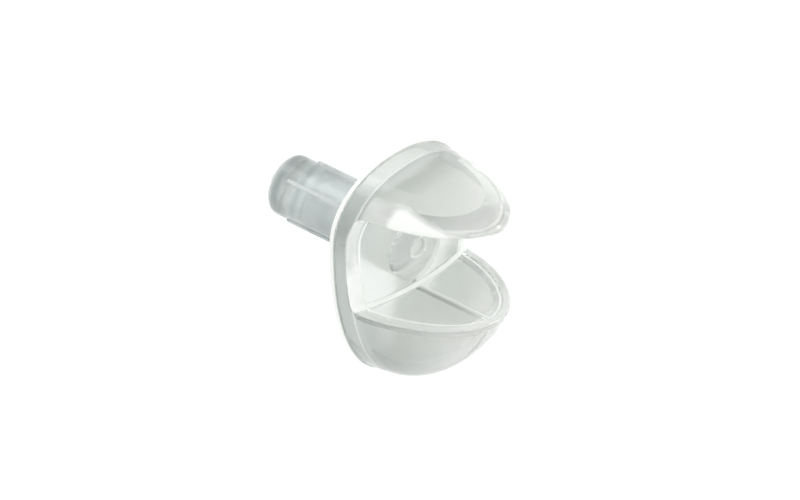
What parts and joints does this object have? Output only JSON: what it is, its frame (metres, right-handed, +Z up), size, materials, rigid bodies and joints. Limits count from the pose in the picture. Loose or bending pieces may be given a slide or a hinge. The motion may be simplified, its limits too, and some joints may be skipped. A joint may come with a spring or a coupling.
{
  "type": "shelf support pin",
  "caption": "Clear moulded shelf support: a ribbed round shank for a drilled hole and a rounded oval head, cored from the back, whose two jaws hold the edge of a glass shelf.",
  "frame": {"origin": "on the shank's axis, in the plane of the head's seating face", "axes": "+Y along the shank to its tip, -Y to the head's nose, +Z up towards the shorter upper jaw, +X across the head"},
  "size_m": [0.014, 0.022, 0.0187],
  "materials": {
    "clear_plastic": "clear moulded plastic, polished, slightly milky"
  },
  "bodies": {
    "root": {"shelf_support": "clear_plastic"}
  },
  "joints": []
}
